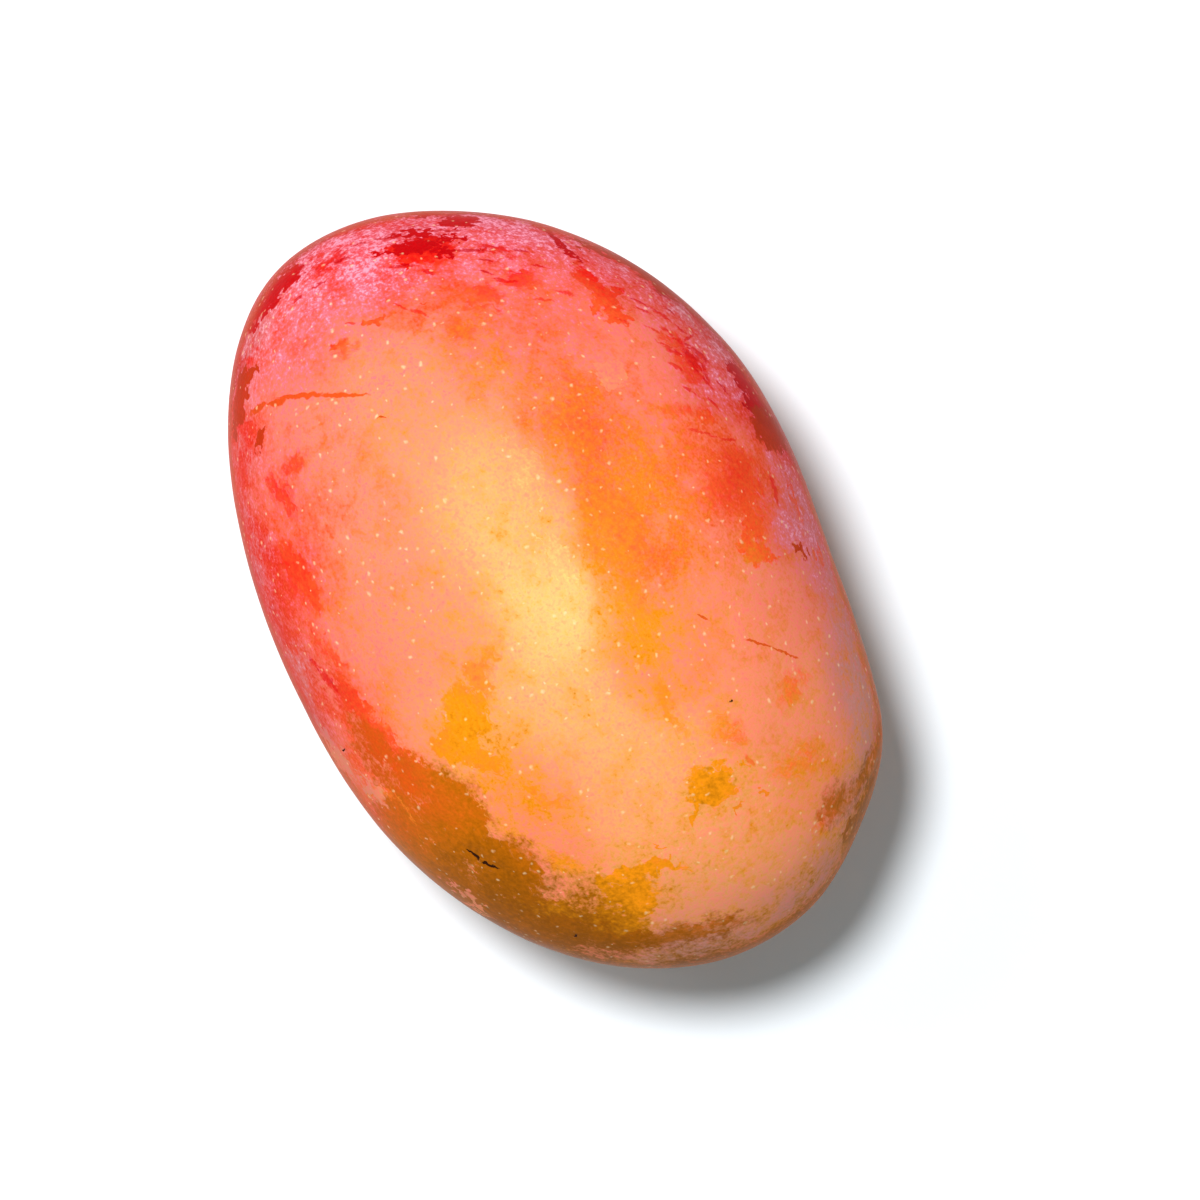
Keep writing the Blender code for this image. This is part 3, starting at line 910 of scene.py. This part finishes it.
        # Bloom: greyed in streaks where it is old, and along the outline, where the grey is painted
        # shade and sheen.
        bloomed = self.fill(self.add("ValToRGB", (tint,)), self.bloomed)
        uneven = self.add("Math", (patterns.along, 0.5, 0.5), operation="MULTIPLY_ADD")
        grey_of_age_and_sheen = self.add("Math", (dull, uneven), operation="MULTIPLY", use_clamp=True)
        greyed = {0: grey_of_age_and_sheen, 6: bloomed, 7: linear(self.aged_bloom_and_sheen_grey)}
        bloomed = self.add("Mix", greyed, 2, data_type="RGBA")
        return self.add("Mix", {0: wax, 6: bare, 7: bloomed}, 2, data_type="RGBA")

    def lenticels(self, place: Socket) -> Socket:
        """Draw the lenticels as soft dots of many sizes.

        Args:
            place: The place on the skin in millimetres.

        Returns:
            How much each spot is a lenticel.
        """
        distance = self.add("TexVoronoi", {"Vector": place, "Scale": 1.0 / self.cell}, "Distance")
        chance = distance.node.outputs["Color"]
        reach = self.add("Math", (chance, self.dot_range, self.least_dot), operation="MULTIPLY_ADD")
        steps = (distance, reach, 0.02, 0.0, self.dot_share)
        return self.add("MapRange", steps, interpolation_type="SMOOTHSTEP")

    def corky(self, place: Socket, scar: Vector) -> Socket:
        """Draw where the stem scar is cork.

        Args:
            place: The place on the skin in millimetres.
            scar: The middle of the stem scar.

        Returns:
            How much each spot is cork.
        """
        inputs = {"Vector": place, "Location": scar, "Scale": (self.cork_reach,) * 3}
        button = self.add("Mapping", inputs, vector_type="TEXTURE")
        ball = self.add("TexGradient", (button,), "Fac", gradient_type="SPHERICAL")
        return self.add("MapRange", (ball, *self.cork_edge), interpolation_type="SMOOTHSTEP")

    def build(self, marks: list[tuple[Mark, Vector]], scar: Vector) -> bpy.types.Material:
        """Build the skin's material.

        Args:
            marks: Each mark with its middle on the skin.
            scar: The middle of the stem scar.

        Returns:
            The material.
        """
        self.made.use_nodes = True
        tree = self.made.node_tree
        shader = tree.nodes["Principled BSDF"]
        patterns = self.patterns()
        grain = patterns.grain
        wear = self.wear(patterns, marks)
        wax = self.bloom(patterns, wear)
        colour = self.ripened(patterns, wear, wax)
        dots = self.lenticels(patterns.edges[Edge.STEADY])
        corky = self.corky(patterns.edges[Edge.RAGGED], scar)

        # What lies over the skin's own colour, from brown chafing up to the cork of the scar.
        patchy = self.add("MapRange", (grain, 0.0, 1.0, *self.patchiness))
        brown = self.add("Math", (wear[Kind.BROWN], patchy), operation="MULTIPLY")
        healed = self.add("Math", (wear[Kind.SCRATCH], self.scratch_share), operation="MULTIPLY")
        corks = {0: grain, 6: linear(self.cork_dark), 7: linear(self.cork)}
        layers = (
            (brown, linear(self.chafed)),
            (healed, linear(self.scratched)),
            (dots, linear(self.dot)),
            (wear[Kind.SPLIT], linear(self.split)),
            (corky, self.add("Mix", corks, 2, data_type="RGBA")),
        )
        for share, over in layers:
            colour = self.add("Mix", {0: share, 6: colour, 7: over}, 2, data_type="RGBA")
        shade = self.add("MapRange", (patterns.mottled, 0.3, 0.7, *self.shades))
        colour = self.add("VectorMath", {0: colour, "Scale": shade}, operation="SCALE")
        tree.links.new(colour, shader.inputs["Base Color"])

        # Gloss: bare skin shines, bloom dulls it to satin, and cork is matt.
        steps = (wax, 0.0, 1.0, self.bare_roughness, self.bloomed_roughness)
        rough = self.swung(self.add("MapRange", steps), grain, self.roughness_swing)
        rough = self.add("Mix", {0: corky, 2: rough, 3: self.cork_roughness})
        tree.links.new(rough, shader.inputs["Roughness"])
        shader.inputs["IOR"].default_value = self.ior
        shader.inputs["Specular IOR Level"].default_value = self.specular

        height = self.add("Math", (dots, self.dot_height), operation="MULTIPLY")
        reliefs = (
            (grain, self.grain_height),
            (patterns.clouds, self.cloud_height),
            (wear[Kind.SPLIT], self.split_height),
        )
        for source, depth in reliefs:
            height = self.add("Math", (source, depth, height), operation="MULTIPLY_ADD")
        relief = {"Height": height, "Distance": MM, "Strength": self.relief_strength}
        bump = self.add("Bump", relief)
        tree.links.new(bump, shader.inputs["Normal"])
        return self.made


@dataclass(frozen=True)
class MattPaper:
    """Heavy white studio paper: matt, so that it only holds the soft shadow."""

    colour: str = "#EAEFF4"
    roughness: float = 0.9

    def material(self) -> bpy.types.Material:
        """Build the material."""
        made = bpy.data.materials.new("matt_white_studio_paper")
        made.use_nodes = True
        shader = made.node_tree.nodes["Principled BSDF"]
        shader.inputs["Base Color"].default_value = linear(self.colour)
        shader.inputs["Roughness"].default_value = self.roughness
        return made


@dataclass
class Mango:
    """The whole fruit: its fine surface, its relief and its finish."""

    # Vector noise takes its offsets from the clock unless it is seeded.
    seed: int = 11

    # How near points are one point, and how often the merged solid is divided.
    merge: float = 0.01
    levels: int = 2

    # Relief: the height from the floor over which it starts, so that the foot stays flat, the
    # depth and the sizes of the unevenness, and the cork of the stem scar.
    foot_height: tuple[float, float] = (0.1, 3.0)
    unevenness: float = 0.25
    wave_size: float = 15.0
    ripple_size: float = 6.0
    ripple_share: float = 0.4
    wave_gain: float = 1.3
    crease_limit: float = 3.0
    cork_radius: float = 5.0
    cork_relief: float = 0.22
    cork_grain: float = 0.9
    cork_core: float = 0.7

    # Looks: how many times its reach a look has any weight, the weight of its wide tail, and
    # the size and strength of the two wanders of its outline.
    look_limit: float = 6.5
    look_tail: float = 0.02
    wanders: tuple[tuple[float, float], ...] = ((9.0, 3.0), (3.5, 1.2))

    # The band round the girth, painted shade of tanned brown: how strong it is, how much of that
    # fades on the underside, the heights above the girth between which it starts and between
    # which the underside takes over, and the size and height of its two wanders.
    girth_painted_shade: float = 0.95
    girth_fade: float = 0.6
    rim_heights: tuple[float, float] = (10.5, 5.5)
    under_heights: tuple[float, float] = (3.0, -18.0)
    rim_wanders: tuple[tuple[float, float], ...] = ((4.0, 1.5), (14.0, 2.0))

    def merged_solid(self) -> bmesh.types.BMesh:
        """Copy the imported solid, with its loose triangles joined up into quads.

        Returns:
            The merged copy, in metres.
        """
        mesh = bmesh.new()
        mesh.from_mesh(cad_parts["mango"].data)
        bmesh.ops.remove_doubles(mesh, verts=mesh.verts, dist=self.merge * MM)
        bmesh.ops.join_triangles(
            mesh,
            faces=mesh.faces,
            angle_face_threshold=math.radians(30),
            angle_shape_threshold=math.radians(60),
        )
        return mesh

    def fine_mesh(self, solid: bmesh.types.BMesh) -> bpy.types.Mesh:
        """Divide the merged solid smoothly into skin fine enough for its relief.

        Args:
            solid: The merged solid.

        Returns:
            The finely divided mesh.
        """
        coarse = bpy.data.meshes.new("coarse_skin")
        solid.to_mesh(coarse)
        holder = bpy.data.objects.new("coarse_skin", coarse)
        bpy.context.scene.collection.objects.link(holder)
        smooth = holder.modifiers.new("smooth", "SUBSURF")
        smooth.levels = self.levels
        smooth.render_levels = self.levels
        ready = holder.evaluated_get(bpy.context.evaluated_depsgraph_get())
        fine = bpy.data.meshes.new_from_object(ready)
        fine.name = "mango_skin"
        bpy.data.objects.remove(holder)
        bpy.data.meshes.remove(coarse)
        return fine

    def raise_relief(self, fine: bpy.types.Mesh, surface: Surface, scar: Vector) -> None:
        """Give the skin its faint unevenness and its creases, and the stem scar its rough cork.

        Args:
            fine: The finely divided mesh.
            surface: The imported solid's surface.
            scar: The middle of the stem scar.
        """
        folds = [
            (surface.find(*crease.start, Side.UPPER), surface.find(*crease.end, Side.UPPER), crease)
            for crease in CREASES
        ]
        normals = [Vector(normal.vector) for normal in fine.vertex_normals]
        for vertex, normal in zip(fine.vertices, normals):
            place = vertex.co / MM
            wave = noise.noise(place / self.wave_size)
            wave += self.ripple_share * noise.noise(place / self.ripple_size)
            sink = self.unevenness * 0.5 * max(-1.0, min(1.0, wave * self.wave_gain))
            for start, end, crease in folds:
                share = intersect_point_line(place, start, end)[1]
                nearest = start.lerp(end, max(0.0, min(1.0, share)))
                distance = (place - nearest).length / crease.width
                if distance < self.crease_limit:
                    sink += crease.depth * math.exp(-0.5 * distance**2)
            core = self.cork_radius * self.cork_core
            cork = smooth_step(self.cork_radius, core, (place - scar).length)
            sink += self.cork_relief * cork * abs(noise.noise(place / self.cork_grain))
            vertex.co -= normal * sink * smooth_step(*self.foot_height, place.z) * MM

    def wandered(self, place: Vector) -> Vector:
        """Shift a place about, so that the looks round it get wandering outlines."""
        shifts = [noise.noise_vector(place / size) * strength for size, strength in self.wanders]
        return place + shifts[0] + shifts[1]

    def blended(self, fine: bpy.types.Mesh, surface: Surface) -> dict[Side, list[list[float]]]:
        """Blend the looks of each side at each of the mesh's points.

        Args:
            fine: The finely divided mesh.
            surface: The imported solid's surface.

        Returns:
            For each side and point, the blended tint, ground, wax and dull.
        """
        finder = KDTree(len(fine.vertices))
        for index, vertex in enumerate(fine.vertices):
            finder.insert(self.wandered(vertex.co / MM), index)
        finder.balance()
        far = [FAR_WEIGHT, *(FAR_WEIGHT * value for value in FAR_LOOK)]
        sums = {side: [list(far) for vertex in fine.vertices] for side in Side}
        for look in LOOKS:
            middle = surface.find(look.right, look.down, look.side)
            values = (1.0, look.tint, look.ground, look.wax, look.dull)
            for _, index, distance in finder.find_range(middle, self.look_limit * look.reach):
                square = (distance / look.reach) ** 2
                weight = math.exp(-0.5 * square) + self.look_tail * math.exp(-0.125 * square)
                total = sums[look.side][index]
                for slot, value in enumerate(values):
                    total[slot] += weight * value
        return {
            side: [[part / total[0] for part in total[1:]] for total in totals]
            for side, totals in sums.items()
        }

    def paint_looks(self, fine: bpy.types.Mesh, surface: Surface) -> None:
        """Write how the skin looks at each of the mesh's points, for the material to read.

        Args:
            fine: The finely divided mesh.
            surface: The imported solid's surface.
        """
        blended = self.blended(fine, surface)
        columns = []
        for vertex, upper, under in zip(fine.vertices, blended[Side.UPPER], blended[Side.UNDER]):
            place = vertex.co / MM
            above = place.z - GIRTH_HEIGHT
            above += sum(height * noise.noise(place / size) for size, height in self.rim_wanders)
            # The band round the girth, where the look is painted shade, with the underside's own
            # looks below it.
            rim = smooth_step(*self.rim_heights, above)
            down = smooth_step(*self.under_heights, above)
            row = []
            for top, low, girth in zip(upper, under, GIRTH_PAINTED_SHADE_LOOK):
                side = top if girth is None else girth
                row.append(top + (side + (low - side) * down - top) * rim)
            # The tan of the band round the girth is painted shade.
            row.append(rim * (self.girth_painted_shade - self.girth_fade * down))
            columns.append(row)
        for slot, name in enumerate(("tint", "ground", "wax", "dull", "tan")):
            layer = fine.attributes.new(name, "FLOAT", "POINT")
            layer.data.foreach_set("value", [row[slot] for row in columns])

    def build(self) -> bpy.types.Object:
        """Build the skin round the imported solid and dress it.

        Returns:
            The finished piece.
        """
        noise.seed_set(self.seed)
        solid = self.merged_solid()
        LOG.info("merged solid: %d points, %d faces", len(solid.verts), len(solid.faces))
        surface = Surface(BVHTree.FromBMesh(solid))
        scar = surface.scar()
        fine = self.fine_mesh(solid)
        solid.free()
        self.paint_looks(fine, surface)
        self.raise_relief(fine, surface, scar)
        fine.shade_smooth()
        spots = [(mark, surface.find(mark.right, mark.down, Side.UPPER)) for mark in MARKS]
        fine.materials.clear()
        finish = RipeSkin(bpy.data.materials.new("waxy_ripe_mango_skin"))
        fine.materials.append(finish.build(spots, scar))
        skin = bpy.data.objects.new("mango_skin", fine)
        bpy.context.scene.collection.objects.link(skin)
        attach(skin, "root")
        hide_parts("mango")
        return skin


@dataclass(frozen=True)
class SoftBox:
    """A round soft box that hangs over the fruit.

    Zenith is the angle from straight up, and turn is counted from the picture's right,
    anticlockwise, both in degrees.
    """

    name: str
    zenith: float
    turn: float
    distance: float
    width: float
    watts: float


@dataclass
class Studio:
    """The pale floor, the soft boxes and the camera above."""

    floor_size: float = 7000.0
    frame_width: float = 179.9
    sky: str = "#DCF4F8"
    sky_strength: float = 0.29
    boxes: tuple[SoftBox, ...] = (
        SoftBox("key_soft_box", 14.0, 133.0, 1500.0, 300.0, 23.5),
        SoftBox("side_soft_box", 42.0, 150.0, 1500.0, 700.0, 5.0),
    )

    def build_floor(self) -> bpy.types.Object:
        """Lay the floor at height 0."""
        mesh = bmesh.new()
        bmesh.ops.create_grid(mesh, x_segments=1, y_segments=1, size=self.floor_size / 2 * MM)
        data = bpy.data.meshes.new("studio_floor")
        mesh.to_mesh(data)
        mesh.free()
        data.materials.append(MattPaper().material())
        floor = bpy.data.objects.new("studio_floor", data)
        bpy.context.scene.collection.objects.link(floor)
        return floor

    def build_camera(self) -> bpy.types.Object:
        """Hang a long-lensed camera over the fruit, turned as the photograph was taken."""
        data = bpy.data.cameras.new("overhead_camera")
        data.lens = data.sensor_width * CAMERA_HEIGHT / self.frame_width
        data.clip_start = 0.1
        data.clip_end = 20.0
        camera = bpy.data.objects.new("overhead_camera", data)
        camera.location = Vector((*CAMERA_OVER, GIRTH_HEIGHT + CAMERA_HEIGHT)) * MM
        camera.rotation_euler = (0.0, 0.0, ROLL)
        bpy.context.scene.collection.objects.link(camera)
        bpy.context.scene.camera = camera
        return camera

    def build_box(self, box: SoftBox) -> bpy.types.Object:
        """Hang one soft box, facing the fruit.

        Args:
            box: Where it hangs, and how large and bright it is.

        Returns:
            The light's object.
        """
        data = bpy.data.lights.new(box.name, "AREA")
        data.shape = "DISK"
        data.size = box.width * MM
        data.energy = box.watts
        light = bpy.data.objects.new(box.name, data)
        turn = ROLL + math.radians(box.turn)
        lean = math.radians(box.zenith)
        flat = math.sin(lean)
        way = Vector((flat * math.cos(turn), flat * math.sin(turn), math.cos(lean)))
        light.location = way * box.distance * MM
        light.rotation_euler = way.to_track_quat("Z", "Y").to_euler()
        bpy.context.scene.collection.objects.link(light)
        return light

    def build_sky(self) -> None:
        """Light everything evenly from a pale cool sky, and show colours without a film curve."""
        world = bpy.data.worlds.new("white_studio")
        world.use_nodes = True
        back = world.node_tree.nodes["Background"]
        back.inputs["Color"].default_value = linear(self.sky)
        back.inputs["Strength"].default_value = self.sky_strength
        bpy.context.scene.world = world
        bpy.context.scene.view_settings.view_transform = "Standard"

    def build(self) -> None:
        """Build the floor, the camera and the lights."""
        self.build_floor()
        self.build_camera()
        for box in self.boxes:
            self.build_box(box)
        self.build_sky()


def main() -> None:
    """Build the studio and the fruit, and report each piece."""
    logging.basicConfig(level=logging.INFO, format="%(message)s")
    Studio().build()
    skin = Mango().build()
    data = skin.data
    LOG.info("%s: %d points, %d faces", skin.name, len(data.vertices), len(data.polygons))


if __name__ == "__main__":
    main()
